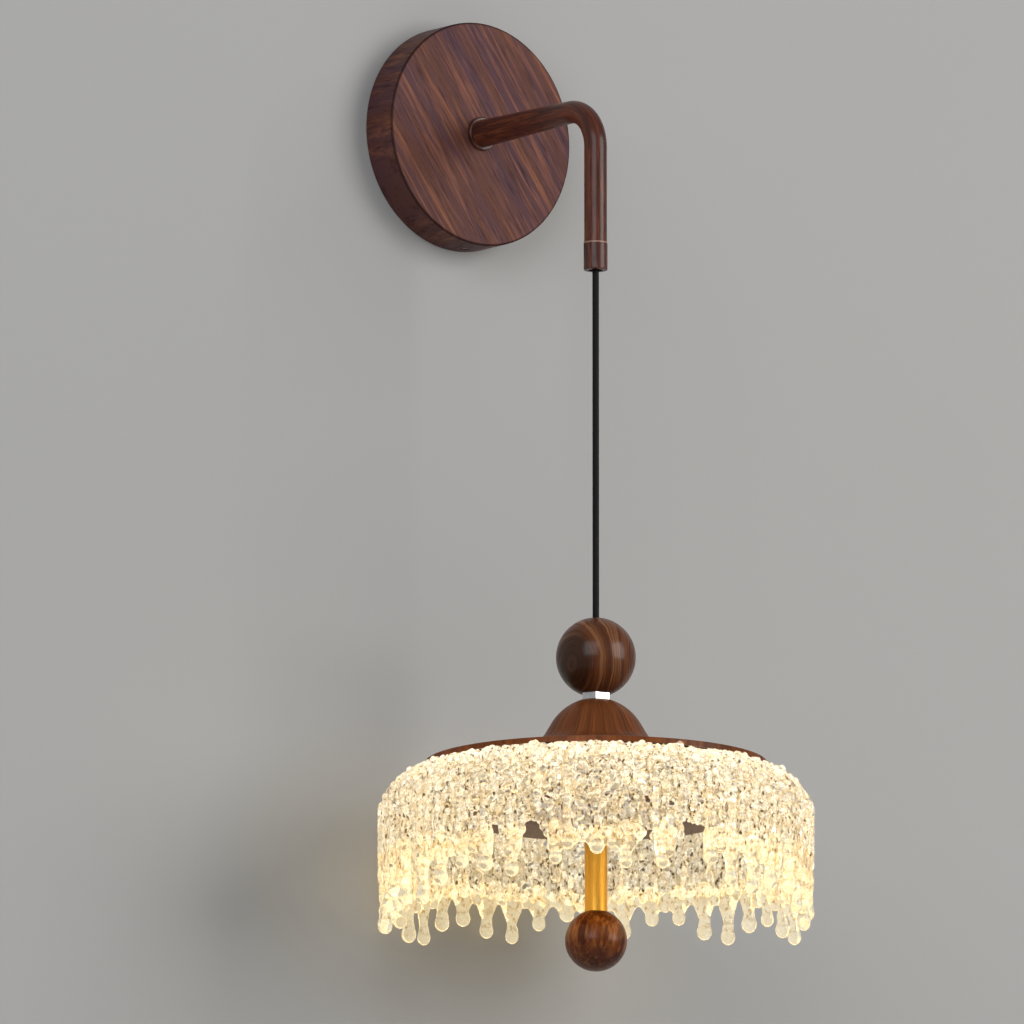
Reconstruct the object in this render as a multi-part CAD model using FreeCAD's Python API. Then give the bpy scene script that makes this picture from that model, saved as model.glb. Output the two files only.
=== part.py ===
# Wall lamp: a round wall plate, a bent arm, and a head with a dripping glass shade hung on a cord.
# Millimetres. The wall is the plane Y = 0, the lamp stands out towards -Y and hangs towards -Z.
# The origin is the centre of the wall plate's back.
import FreeCAD
import Part
import math
import os

Vector = FreeCAD.Vector
HERE = Vector(0, 0, 0)
RIGHT = Vector(1, 0, 0)
UP = Vector(0, 0, 1)
DOWN = Vector(0, 0, -1)
OUT = Vector(0, -1, 0)
FULL_TURN = 360
HEX_SIDES = 6
NO_LENGTH = 1e-6

# Fits: threads and push fits, stacked seats, and anything that moves inside something else
slip = 0.05
seat_gap = 0.05
free_gap = 0.35

# Wall plate: a drawn steel cup over a strap that is screwed to the wall
canopy_r = 60
canopy_depth = 22
canopy_wall = 1.5
canopy_edge_r = 1.2
strap_width = 24
strap_thickness = 1.5
strap_end_room = 4
ear_width = 14
ear_depth = 13
slot_spacing = 70
slot_width = 5
slot_length = 12
cable_hole_r = 6
rim_screw_r = 2
rim_screw_depth = 8
rim_screw_length = 7
rim_screw_sink = 0.4
earth_screw_r = 1.6
earth_head_r = 3.2
earth_head_height = 2.2
earth_drop = 17

# Wiring inside the wall plate
driver_width = 30
driver_thickness = 17
driver_room = 4
driver_strap_gap = 6
driver_edge_r = 2
block_width = 21
block_height = 14
block_thickness = 11
pole_count = 3
pole_pitch = 6.5
pole_screw_r = 1.5
pole_screw_height = 3
pole_screw_sink = 1
wire_r = 0.9
wire_pitch = 6.5

# Arm: a tube that tapers from its root, bends once and ends in a ferrule
reach = 120
arm_drop = 88
arm_r = 6
arm_root_r = 7.3
arm_bore_r = 5
arm_bend_r = 22
collar_r = 9
collar_thickness = 2.2
collar_edge_r = 0.7
nipple_bore_r = 3.2
nipple_hold = 12
nipple_tail = 1
washer_r = 9.5
washer_thickness = 1
lock_nut_flats = 14
lock_nut_thickness = 3
lead_turn_r = 10.5
ferrule_r = 6.3
ferrule_length = 14.9
ferrule_edge_r = 0.6
spigot_length = 7
grip_r = 4
grip_length = 8
grip_web = 1.2
mouth_r = 3.8
pivot_inset = 2.5

# Cord, from the ferrule's mouth to the top ball
cord_r = 1.75
cord_drop = 185.7
neck_gap = 0.3

# Head, from the top ball down to the hat
top_ball_r = 21
head_grip_r = 4.6
head_grip_length = 9
head_grip_above_flat = 14.2
collar_nut_flats = 14
collar_nut_thickness = 3.7
collar_nut_turn = 52
hat_seat_r = 8.4
hat_thickness = 3
dome_shoulder_r = 18.45
dome_shoulder_drop = 3.6
dome_shoulder_round = 28
dome_foot_r = 29.5
dome_foot_drop = 22.6
dome_foot_round = 12
brim_r = 90
brim_drop = 33.3

# Glass shade: a crown flange under the brim, a round shoulder, an upright wall, its runs and its drips
gasket_inner_r = 64
gasket_outer_r = 80
gasket_thickness = 1
flange_inner_r = 60
shade_r = 113
shade_wall = 4.5
shade_shoulder_round = 27
shade_height = 52
run_count = 46
run_r = 2.6
run_proud = 1.5
run_rise = 5
run_spread = 3
run_head_r = 3.2
bead_r = 2.9
bead_rows = 2
bead_row_rise = 29
drip_count = 92
drip_neck_r = 2.2
drip_waist_r = 2
drip_waist_share = 0.6
drip_bulb_r = 3.3
drip_mean = 22.5
drip_short_share = 0.7
drip_spread = 5.5
drip_step = 2.4
drip_lean = 2
drip_flank = 8
drip_turn = 52

# Light source: a spun carrier with a strip of chips round its skirt, closed by a cover
carrier_thickness = 2
carrier_lip = 4
skirt_r = 66
skirt_wall = 1.5
skirt_depth = 24.1
strip_thickness = 0.8
strip_width = 12
strip_drop = 9
chip_count = 40
chip_width = 2.8
chip_height = 3.5
chip_thickness = 0.9
cover_lip = 4
cover_thickness = 2.5
cover_edge_r = 0.8
tail_turn_r = 2.4
tail_below_plate = 12
tail_hole_gap = 0.4

# Below the light source: a brass tube and the ball that closes it
tube_r = 6
tube_hold = 14
tube_length = 48.9
tube_end = 7
stud_r = 2.5
stud_in_ball = 15
finial_r = 16.3


def hex_corner_r(flats):
    """Distance from a hexagon's middle to its corners."""
    return flats / 2 / math.cos(math.pi / HEX_SIDES)


# Places that follow from the sizes
canopy_bore = canopy_r - canopy_wall
canopy_back = canopy_depth - canopy_wall
nipple_r = arm_bore_r - slip
nipple_hole_r = nipple_r + slip
arm_start = canopy_depth + collar_thickness
lock_nut_back = canopy_back - washer_thickness - lock_nut_thickness
nipple_back = lock_nut_back - nipple_tail
bend_start = reach - arm_bend_r
ferrule_bottom = -arm_drop
ferrule_top = ferrule_bottom + ferrule_length
pivot_z = ferrule_bottom + pivot_inset
lead_bottom = pivot_z + cord_r + neck_gap
grip_bottom = lead_bottom + grip_web
cord_top = pivot_z - cord_r - neck_gap

top_ball_z = ferrule_bottom - cord_drop - top_ball_r
collar_nut_r = hex_corner_r(collar_nut_flats)
ball_foot = top_ball_z - math.sqrt(top_ball_r ** 2 - collar_nut_r ** 2)
head_grip_bottom = ball_foot + head_grip_above_flat
cord_bottom = head_grip_bottom + neck_gap
hat_top = ball_foot - collar_nut_thickness
dome_foot_z = hat_top - dome_foot_drop
brim_slope = (brim_drop - dome_foot_drop) / (brim_r - dome_foot_r)
slope_stretch = math.hypot(1, brim_slope)


def under_brim(radius, below=0):
    """Height of a cone that runs under the hat's brim, a given upright distance below it."""
    return dome_foot_z - hat_thickness - brim_slope * (radius - dome_foot_r) - below


shade_bore = shade_r - shade_wall
flange_below = gasket_thickness + seat_gap
flange_under = flange_below + shade_wall * slope_stretch
shade_corner_z = under_brim(shade_r, flange_below)
edge_z = under_brim(brim_r, flange_below) - shade_height
drip_ring_r = shade_r - shade_wall / 2
shoulder_turn = math.pi / 2 - math.atan(brim_slope)
shoulder_r = shade_r - shade_shoulder_round
shoulder_z = shade_corner_z - shade_shoulder_round * math.tan(shoulder_turn / 2)
run_ring_r = shade_r + run_proud - run_r
bead_path_r = shade_shoulder_round + run_proud - bead_r

carrier_top = flange_under + seat_gap
carrier_seat_r = skirt_r + carrier_lip
cover_r = skirt_r + cover_lip
plate_top = under_brim(flange_inner_r, carrier_top)
plate_bottom = plate_top - carrier_thickness
skirt_bottom = plate_top - skirt_depth
strip_top = plate_top - strip_drop
cover_bottom = skirt_bottom - cover_thickness
tail_z = plate_bottom - tail_below_plate
head_lead_bottom = tail_z + tail_turn_r
hanger_bottom = cover_bottom - tube_hold
tube_bottom = cover_bottom - tube_length
finial_z = tube_bottom - math.sqrt(finial_r ** 2 - tube_r ** 2)


def at_head(shape):
    """Moves a shape made round the Z axis on to the axis of the cord and the head."""
    shape.translate(OUT * reach)
    return shape


def straight(start, end):
    """The edge between two points, in a list, or nothing where they are the same point."""
    return [] if start.isEqual(end, NO_LENGTH) else [Part.makeLine(start, end)]


def rounded_edges(points, rounds):
    """Straight edges through the points, with a tangent arc at each inner point that has a round."""
    edges = []
    start = points[0]
    for corner, after, radius in zip(points[1:-1], points[2:], rounds):
        if not radius:
            edges += straight(start, corner)
            start = corner
            continue
        back = (start - corner).normalize()
        ahead = (after - corner).normalize()
        half_angle = back.getAngle(ahead) / 2
        tangent = radius / math.tan(half_angle)
        middle = corner + (back + ahead).normalize() * (radius / math.sin(half_angle) - radius)
        arc_start = corner + back * tangent
        arc_end = corner + ahead * tangent
        edges += straight(start, arc_start)
        edges.append(Part.Arc(arc_start, middle, arc_end).toShape())
        start = arc_end
    return edges + straight(start, points[-1])


def turned(corners, axis=UP, turn=FULL_TURN):
    """Solid turned from a closed outline of (radius, place along the axis, round) corners."""
    points = [RIGHT * corner[0] + axis * corner[1] for corner in corners]
    rounds = [corner[2] if len(corner) > 2 else 0 for corner in corners[1:]]
    outline = Part.Wire(rounded_edges(points + points[:1], rounds))
    return Part.Face(outline).revolve(HERE, axis, turn)


def ring(outer, inner, low, high, axis=UP):
    """Plain ring or bush between two places along an axis."""
    return turned([(inner, low), (outer, low), (outer, high), (inner, high)], axis)


def rod(radius, start, end):
    """Plain round rod from one point to another."""
    run = end - start
    return Part.makeCylinder(radius, run.Length, start, run)


def hex_nut(flats, bore, low, high, axis, turn=0):
    """Hexagon nut with its washer faces square to the axis."""
    corner = RIGHT * hex_corner_r(flats)
    angles = [turn + FULL_TURN * step / HEX_SIDES for step in range(HEX_SIDES + 1)]
    outline = [FreeCAD.Rotation(axis, angle).multVec(corner) + axis * low for angle in angles]
    blank = Part.Face(Part.makePolygon(outline)).extrude(axis * (high - low))
    return blank.cut(rod(bore, axis * low, axis * high))


def box(low, high):
    """Block between two opposite corners."""
    size = high - low
    return Part.makeBox(size.x, size.y, size.z, low)


def swept(radius, points, rounds):
    """Round tube or cord along straight runs with tangent bends."""
    path = Part.Wire(rounded_edges(points, rounds))
    first = points[1] - points[0]
    section = Part.Wire(Part.makeCircle(radius, points[0], first))
    return path.makePipeShell([section], True, False), path.Length


def slot_cut(centre_z):
    """Cutter for one upright wall slot in the strap."""
    half_run = (slot_length - slot_width) / 2
    ends = [Vector(0, 0, centre_z - half_run), Vector(0, 0, centre_z + half_run)]
    low = Vector(-slot_width / 2, -strap_thickness, ends[0].z)
    high = Vector(slot_width / 2, 0, ends[1].z)
    return box(low, high).multiFuse([rod(slot_width / 2, end, end + OUT * strap_thickness) for end in ends])


# Wall plate


def canopy():
    cup = turned([
        (nipple_hole_r, canopy_back),
        (canopy_bore, canopy_back),
        (canopy_bore, 0),
        (canopy_r, 0),
        (canopy_r, canopy_depth, canopy_edge_r),
        (nipple_hole_r, canopy_depth),
    ], OUT)
    for way in (UP, DOWN):
        start = OUT * rim_screw_depth
        cup = cup.cut(rod(rim_screw_r + slip, start, start + way * (canopy_r + canopy_wall)))
    return cup


ear_face = math.sqrt(canopy_bore ** 2 - (ear_width / 2) ** 2) - free_gap
strap_half = math.sqrt(canopy_bore ** 2 - (strap_width / 2) ** 2) - strap_end_room


def mounting_strap():
    flat = box(Vector(-strap_width / 2, -strap_thickness, -strap_half), Vector(strap_width / 2, 0, strap_half))
    neck = box(Vector(-ear_width / 2, -strap_thickness, -ear_face), Vector(ear_width / 2, 0, ear_face))
    ears = []
    for side in (-1, 1):
        near, far = sorted((side * ear_face, side * (ear_face - strap_thickness)))
        ears.append(box(Vector(-ear_width / 2, -ear_depth, near), Vector(ear_width / 2, 0, far)))
    strap = flat.multiFuse([neck] + ears).removeSplitter()
    cutters = [slot_cut(side * slot_spacing / 2) for side in (-1, 1)]
    cutters.append(rod(cable_hole_r, HERE, OUT * strap_thickness))
    earth_at = DOWN * earth_drop
    cutters.append(rod(earth_screw_r + slip, earth_at, earth_at + OUT * strap_thickness))
    for way in (UP, DOWN):
        start = OUT * rim_screw_depth
        cutters.append(rod(rim_screw_r + slip, start, start + way * canopy_r))
    for cutter in cutters:
        strap = strap.cut(cutter)
    return strap


def rim_screws():
    screws = []
    for way in (UP, DOWN):
        head = OUT * rim_screw_depth + way * (canopy_r - rim_screw_sink)
        screws.append(rod(rim_screw_r, head - way * rim_screw_length, head))
    return Part.makeCompound(screws)


def earth_screw():
    start = DOWN * earth_drop
    seat = start + OUT * strap_thickness
    shank = rod(earth_screw_r, start, seat)
    return shank.fuse(rod(earth_head_r, seat, seat + OUT * earth_head_height)).removeSplitter()


# Wiring inside the wall plate


driver_left = strap_width / 2 + driver_strap_gap
driver_right = driver_left + driver_width
driver_half = math.sqrt((canopy_bore - driver_room) ** 2 - driver_right ** 2)
lock_nut_r = hex_corner_r(lock_nut_flats)
block_z = (lock_nut_r + (slot_spacing - slot_length) / 2) / 2
block_front = strap_thickness + block_thickness
wire_depth = strap_thickness + block_thickness / 2


def led_driver():
    low = Vector(driver_left, -canopy_back, -driver_half)
    case = box(low, Vector(driver_right, driver_thickness - canopy_back, driver_half))
    corners = [edge for edge in case.Edges if edge.BoundBox.YLength > driver_edge_r]
    return case.makeFillet(driver_edge_r, corners)


def pole_places():
    """Screw places on the terminal block's front, one to a pole."""
    offsets = [(pole - (pole_count - 1) / 2) * pole_pitch for pole in range(pole_count)]
    return [Vector(offset, -block_front, block_z) for offset in offsets]


def terminal_block():
    low = Vector(-block_width / 2, -block_front, block_z - block_height / 2)
    block = box(low, Vector(block_width / 2, -strap_thickness, block_z + block_height / 2))
    well_depth = pole_screw_sink + pole_screw_height
    for place in pole_places():
        block = block.cut(rod(pole_screw_r + slip, place, place - OUT * well_depth))
    return block


def terminal_screws():
    screws = []
    for place in pole_places():
        head = place - OUT * pole_screw_sink
        screws.append(rod(pole_screw_r, head - OUT * pole_screw_height, head))
    return Part.makeCompound(screws)


def driver_wires():
    wires = []
    for side in (-1, 1):
        start = Vector(block_width / 2, -wire_depth, block_z + side * wire_pitch / 2)
        wires.append(rod(wire_r, start, Vector(driver_left, start.y, start.z)))
    return Part.makeCompound(wires)


# Arm


def arm_collar():
    return turned([
        (nipple_hole_r, canopy_depth),
        (collar_r, canopy_depth),
        (collar_r, arm_start, collar_edge_r),
        (nipple_hole_r, arm_start),
    ], OUT)


def arm_nipple():
    return ring(nipple_r, nipple_bore_r, nipple_back, arm_start + nipple_hold, OUT)


def arm_washer():
    return ring(washer_r, nipple_hole_r, canopy_back - washer_thickness, canopy_back, OUT)


def arm_lock_nut():
    return hex_nut(lock_nut_flats, nipple_hole_r, lock_nut_back, canopy_back - washer_thickness, OUT)


def arm_tube():
    corner = OUT * reach
    foot = corner + UP * ferrule_top
    taper = Part.makeCone(arm_root_r, arm_r, bend_start - arm_start, OUT * arm_start, OUT)
    bend, bend_length = swept(arm_r, [OUT * bend_start, corner, foot], [arm_bend_r])
    bore, bore_length = swept(arm_bore_r, [OUT * arm_start, corner, foot], [arm_bend_r])
    print("arm bend radius", arm_bend_r, "bore volume share",
          round(bore.Volume / (math.pi * arm_bore_r ** 2 * bore_length), 4))
    return taper.fuse(bend).removeSplitter().cut(bore)


def end_ferrule():
    return at_head(turned([
        (mouth_r, ferrule_bottom),
        (ferrule_r, ferrule_bottom, ferrule_edge_r),
        (ferrule_r, ferrule_top),
        (arm_bore_r - slip, ferrule_top),
        (arm_bore_r - slip, ferrule_top + spigot_length),
        (grip_r, ferrule_top + spigot_length),
        (grip_r, grip_bottom),
        (cord_r + free_gap, grip_bottom),
        (cord_r + free_gap, lead_bottom),
        (mouth_r, lead_bottom),
    ]))


def cord_grip():
    return at_head(ring(grip_r - slip, cord_r + slip, grip_bottom, grip_bottom + grip_length))


def arm_lead():
    turn_depth = nipple_back - lead_turn_r
    points = [
        Vector(driver_left, -turn_depth, 0),
        OUT * turn_depth,
        OUT * reach,
        OUT * reach + UP * lead_bottom,
    ]
    rounds = [lead_turn_r, arm_bend_r]
    lead, length = swept(cord_r, points, rounds)
    print("lead bend radii", rounds, "length", round(length, 1), "volume share",
          round(lead.Volume / (math.pi * cord_r ** 2 * length), 4))
    return lead


# Cord


def cord_neck():
    return at_head(Part.makeSphere(cord_r, UP * pivot_z))


def pendant_cord():
    print("cord free length", cord_drop, "whole length", round(cord_top - cord_bottom, 1))
    return at_head(rod(cord_r, UP * cord_bottom, UP * cord_top))


# Head


def top_ball():
    ball = Part.makeSphere(top_ball_r, UP * top_ball_z)
    below = UP * (top_ball_z - top_ball_r)
    ball = ball.cut(rod(top_ball_r, below, UP * ball_foot))
    ball = ball.cut(rod(cord_r + free_gap, UP * ball_foot, UP * (top_ball_z + top_ball_r)))
    return at_head(ball.cut(rod(nipple_hole_r, UP * ball_foot, UP * (head_grip_bottom + head_grip_length))))


def head_cord_grip():
    return at_head(ring(head_grip_r, cord_r + slip, head_grip_bottom, head_grip_bottom + head_grip_length))


def hanger_nipple():
    tube = ring(nipple_r, nipple_bore_r, hanger_bottom, head_grip_bottom)
    window = rod(wire_r + tail_hole_gap, UP * tail_z, UP * tail_z + RIGHT * arm_r)
    return at_head(tube.cut(window))


def collar_nut():
    return at_head(hex_nut(collar_nut_flats, nipple_hole_r, hat_top, ball_foot, UP, collar_nut_turn))


def hat():
    rim_z = hat_top - brim_drop
    return at_head(turned([
        (nipple_hole_r, hat_top),
        (hat_seat_r, hat_top),
        (dome_shoulder_r, hat_top - dome_shoulder_drop, dome_shoulder_round),
        (dome_foot_r, dome_foot_z, dome_foot_round),
        (brim_r, rim_z),
        (brim_r, rim_z - hat_thickness),
        (dome_foot_r, dome_foot_z - hat_thickness, dome_foot_round),
        (dome_shoulder_r, hat_top - dome_shoulder_drop - hat_thickness, dome_shoulder_round),
        (hat_seat_r, hat_top - hat_thickness),
        (nipple_hole_r, hat_top - hat_thickness),
    ]))


def shade_gasket():
    return at_head(turned([
        (gasket_inner_r, under_brim(gasket_inner_r, gasket_thickness)),
        (gasket_outer_r, under_brim(gasket_outer_r, gasket_thickness)),
        (gasket_outer_r, under_brim(gasket_outer_r, seat_gap)),
        (gasket_inner_r, under_brim(gasket_inner_r, seat_gap)),
    ]))


def glass_run(index):
    """A run of glass down the wall to the lower edge, with a round head on the shoulder."""
    foot = RIGHT * run_ring_r + UP * edge_z
    head = RIGHT * run_ring_r + UP * (shoulder_z + run_rise + run_spread * math.sin(drip_step * index))
    return rod(run_r, foot, head).fuse(Part.makeSphere(run_head_r, head))


def shoulder_bead(row):
    """A bead that stands half out of the shoulder, in one of the rows above the runs."""
    rise = math.radians(bead_row_rise * row)
    along = RIGHT * math.cos(rise) + UP * math.sin(rise)
    return Part.makeSphere(bead_r, RIGHT * shoulder_r + UP * shoulder_z + along * bead_path_r)


def at_drip(shape, place):
    """Turns a shape made over the X axis round the shade, to a place counted in drips."""
    shape.rotate(HERE, UP, drip_turn + FULL_TURN * place / drip_count)
    return shape


def shade_sector(index):
    """The share of the bell that carries one run and the beads above it, clear of the share's sides."""
    share = turned([
        (flange_inner_r, under_brim(flange_inner_r, flange_under)),
        (flange_inner_r, under_brim(flange_inner_r, flange_below)),
        (shade_r, shade_corner_z, shade_shoulder_round),
        (shade_r, edge_z),
        (shade_bore, edge_z),
        (shade_bore, under_brim(shade_bore, flange_under), shade_shoulder_round - shade_wall),
    ], turn=FULL_TURN / run_count)
    run_pitch = drip_count / run_count
    place = run_pitch * index
    relief = [at_drip(glass_run(index), place)]
    for row in range(1, bead_rows + 1):
        relief.append(at_drip(shoulder_bead(row), place + run_pitch / 2 * (row % 2)))
    return at_drip(share, place - run_pitch / 4).fuse(relief)


def glass_shade():
    sectors = [shade_sector(index) for index in range(run_count)]
    return at_head(sectors[0].fuse(sectors[1:]).removeSplitter())


def drip_length(index):
    """Longest on the two flanks, with every second drip short and the others uneven."""
    bearing = math.radians(FULL_TURN * index / drip_count)
    length = drip_mean + drip_lean * math.cos(bearing) - drip_flank * math.cos(2 * bearing)
    if index % 2:
        return length * drip_short_share
    return length + drip_spread * math.sin(drip_step * index)


def glass_drip(length):
    """One drip on the Z axis: a neck that thins to a waist and swells to a round bulb."""
    foot = edge_z - length
    bulb_z = foot + drip_bulb_r
    neck = RIGHT * drip_neck_r + UP * edge_z
    waist = RIGHT * drip_waist_r + UP * (edge_z + (bulb_z - edge_z) * drip_waist_share)
    bulb = RIGHT * drip_bulb_r + UP * bulb_z
    under_bulb = (RIGHT + DOWN).normalize() * drip_bulb_r + UP * bulb_z
    flank = Part.BSplineCurve()
    flank.interpolate(Points=[neck, waist, bulb], InitialTangent=DOWN, FinalTangent=DOWN)
    outline = Part.Wire([
        Part.makeLine(UP * foot, UP * edge_z),
        Part.makeLine(UP * edge_z, neck),
        flank.toShape(),
        Part.Arc(bulb, under_bulb, UP * foot).toShape(),
    ])
    return Part.Face(outline).revolve(HERE, UP, FULL_TURN)


def glass_drips():
    """Drips in a ring, each seated on the shade's lower edge."""
    drips = []
    for index in range(drip_count):
        drip = glass_drip(drip_length(index))
        drip.translate(RIGHT * drip_ring_r)
        drips.append(at_drip(drip, index))
    return at_head(Part.makeCompound(drips))


# Light source


def led_carrier():
    seat = under_brim(carrier_seat_r, carrier_top)
    under_seat = under_brim(skirt_r, carrier_top + carrier_thickness)
    dish = turned([
        (nipple_hole_r, plate_bottom),
        (nipple_hole_r, plate_top),
        (flange_inner_r, plate_top),
        (carrier_seat_r, seat),
        (carrier_seat_r, seat - carrier_thickness),
        (skirt_r, under_seat),
        (skirt_r, skirt_bottom),
        (skirt_r - skirt_wall, skirt_bottom),
        (skirt_r - skirt_wall, under_brim(skirt_r - skirt_wall, carrier_top + carrier_thickness)),
        (flange_inner_r, plate_bottom),
    ])
    return at_head(dish.cut(rod(wire_r + slip, UP * tail_z, UP * tail_z + RIGHT * shade_r)))


def led_strip():
    inner = skirt_r + slip
    return at_head(ring(inner + strip_thickness, inner, strip_top - strip_width, strip_top))


def led_chips():
    seat = skirt_r + slip + strip_thickness
    near = math.sqrt(seat ** 2 + (chip_width / 2) ** 2)
    low = Vector(near, -chip_width / 2, strip_top - (strip_width + chip_height) / 2)
    chips = []
    for index in range(chip_count):
        chip = box(low, low + Vector(chip_thickness, chip_width, chip_height))
        chip.rotate(HERE, UP, FULL_TURN * index / chip_count)
        chips.append(chip)
    return at_head(Part.makeCompound(chips))


def head_lead():
    return at_head(rod(cord_r, UP * head_lead_bottom, UP * head_grip_bottom))


def led_tail():
    points = [UP * head_lead_bottom, UP * tail_z, UP * tail_z + RIGHT * skirt_r]
    tail, length = swept(wire_r, points, [tail_turn_r - slip])
    print("tail volume share", round(tail.Volume / (math.pi * wire_r ** 2 * length), 4))
    return at_head(tail)


def head_lock_nut():
    return at_head(hex_nut(collar_nut_flats, nipple_hole_r, plate_bottom - lock_nut_thickness, plate_bottom, UP))


def hub_cover():
    return at_head(turned([
        (nipple_hole_r, cover_bottom),
        (cover_r, cover_bottom, cover_edge_r),
        (cover_r, skirt_bottom),
        (nipple_hole_r, skirt_bottom),
    ]))


# Below the light source


def brass_tube():
    return at_head(turned([
        (stud_r + slip, tube_bottom),
        (tube_r, tube_bottom),
        (tube_r, cover_bottom),
        (nipple_hole_r, cover_bottom),
        (nipple_hole_r, tube_bottom + tube_end),
        (stud_r + slip, tube_bottom + tube_end),
    ]))


def finial_stud():
    return at_head(rod(stud_r, UP * (tube_bottom - stud_in_ball), UP * (tube_bottom + tube_end)))


def finial_ball():
    ball = Part.makeSphere(finial_r, UP * finial_z)
    ball = ball.cut(rod(finial_r, UP * tube_bottom, UP * (finial_z + finial_r)))
    return at_head(ball.cut(rod(stud_r + slip, UP * (tube_bottom - stud_in_ball), UP * tube_bottom)))


PIECES = [
    canopy, mounting_strap, rim_screws, earth_screw,
    led_driver, terminal_block, terminal_screws, driver_wires,
    arm_collar, arm_nipple, arm_washer, arm_lock_nut, arm_tube, end_ferrule, cord_grip, arm_lead,
    cord_neck, pendant_cord,
    top_ball, head_cord_grip, hanger_nipple, collar_nut, hat, shade_gasket, glass_shade, glass_drips,
    led_carrier, led_strip, led_chips, head_lead, led_tail, head_lock_nut, hub_cover,
    brass_tube, finial_stud, finial_ball,
]

os.makedirs("parts", exist_ok=True)
for piece in PIECES:
    piece().exportStep("parts/" + piece.__name__ + ".step")
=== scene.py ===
import math
import random

import bpy
import numpy as np
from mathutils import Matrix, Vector


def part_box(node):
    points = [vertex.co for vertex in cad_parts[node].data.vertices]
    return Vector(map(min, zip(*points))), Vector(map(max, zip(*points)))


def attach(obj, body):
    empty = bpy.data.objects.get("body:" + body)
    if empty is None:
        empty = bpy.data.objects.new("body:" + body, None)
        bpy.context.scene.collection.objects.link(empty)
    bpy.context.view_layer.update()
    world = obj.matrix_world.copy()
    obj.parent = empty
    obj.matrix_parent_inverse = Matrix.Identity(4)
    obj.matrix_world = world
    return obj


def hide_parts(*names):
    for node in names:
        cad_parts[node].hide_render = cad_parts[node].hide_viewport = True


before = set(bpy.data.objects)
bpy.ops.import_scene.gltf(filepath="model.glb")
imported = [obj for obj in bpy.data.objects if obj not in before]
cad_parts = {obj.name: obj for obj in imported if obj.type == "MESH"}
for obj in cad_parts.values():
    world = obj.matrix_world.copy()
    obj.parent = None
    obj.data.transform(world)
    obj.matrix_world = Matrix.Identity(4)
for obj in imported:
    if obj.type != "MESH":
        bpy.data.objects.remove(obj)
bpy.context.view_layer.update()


# Wall plate: a shallow drawn-steel cup that stands on the wall and hides the wiring.
# It is wrapped in a dark rosewood transfer film, and the straight grain runs slantwise
# over its face. A dark line of painted shade runs round the front edge, the side is darkened
# with painted shade, and the inside is primed grey.
def tint(red, green, blue):
    """Linear colour of an 8-bit screen colour."""
    return tuple(((c / 255 + 0.055) / 1.055) ** 2.4 if c > 10 else c / 255 / 12.92
                 for c in (red, green, blue)) + (1.0,)


def add(tree, kind, inputs, **settings):
    """A shader node with its settings, and its inputs set or linked."""
    made = tree.nodes.new("ShaderNode" + kind)
    for name, value in settings.items():
        setattr(made, name, value)
    for key, value in inputs.items():
        if isinstance(value, bpy.types.NodeSocket):
            tree.links.new(value, made.inputs[key])
        else:
            made.inputs[key].default_value = value
    return made


def spread(tree, value, low, high, start=0.0, end=1.0):
    """A value stretched from one span to another and held at its ends."""
    inputs = {"Value": value, "From Min": low, "From Max": high, "To Min": start, "To Max": end}
    return add(tree, "MapRange", inputs).outputs["Result"]


def blend_colour(tree, share, first, second):
    """A mix of two colours."""
    return add(tree, "Mix", {0: share, 6: first, 7: second}, data_type="RGBA").outputs[2]


def times(tree, first, second):
    """One value times another."""
    return add(tree, "Math", {0: first, 1: second}, operation="MULTIPLY").outputs[0]


def new_finish(name, **sockets):
    """A material with its Principled shader's plain sockets set."""
    material = bpy.data.materials.new(name)
    material.use_nodes = True
    shader = material.node_tree.nodes["Principled BSDF"]
    for key, value in sockets.items():
        shader.inputs[key.replace("_", " ")].default_value = value
    return material, material.node_tree, shader


def bumped(tree, shader, height, depth, strength):
    """Leads a height into the shader's normal."""
    bump = add(tree, "Bump", {"Height": height, "Distance": depth, "Strength": strength})
    tree.links.new(bump.outputs["Normal"], shader.inputs["Normal"])


def dress(material, *names):
    """Gives CAD nodes one finish."""
    for name in names:
        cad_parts[name].data.materials.clear()
        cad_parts[name].data.materials.append(material)


def new_group(name, inputs, outputs):
    """A shader node group, with the sockets that lead into it and out of it."""
    group = bpy.data.node_groups.new(name, "ShaderNodeTree")
    for in_out, sockets in (("INPUT", inputs), ("OUTPUT", outputs)):
        for socket, kind in sockets.items():
            group.interface.new_socket(socket, in_out=in_out, socket_type="NodeSocket" + kind)
    return group, group.nodes.new("NodeGroupInput").outputs, group.nodes.new("NodeGroupOutput").inputs


SKIN = {"Color": "Color", "Roughness": "Float", "Height": "Float"}
SKIN_RELIEF, GRAIN_BUMP = 0.0002, 0.12
wood_grain, grain_in, grain_out = new_group(
    "wood_grain", {"Place": "Vector", "Body": "Color", "Band": "Color", "Streak": "Color",
                   "Line": "Color"}, SKIN)


def grain_noise(scale, detail, low, high):
    """Noise along the grain, stretched to a mask."""
    inputs = {"Vector": grain_in["Place"], "Scale": scale, "Detail": detail, "Roughness": 0.6,
              "Distortion": 0.25}
    return spread(wood_grain, add(wood_grain, "TexNoise", inputs).outputs[0], low, high)


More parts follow.
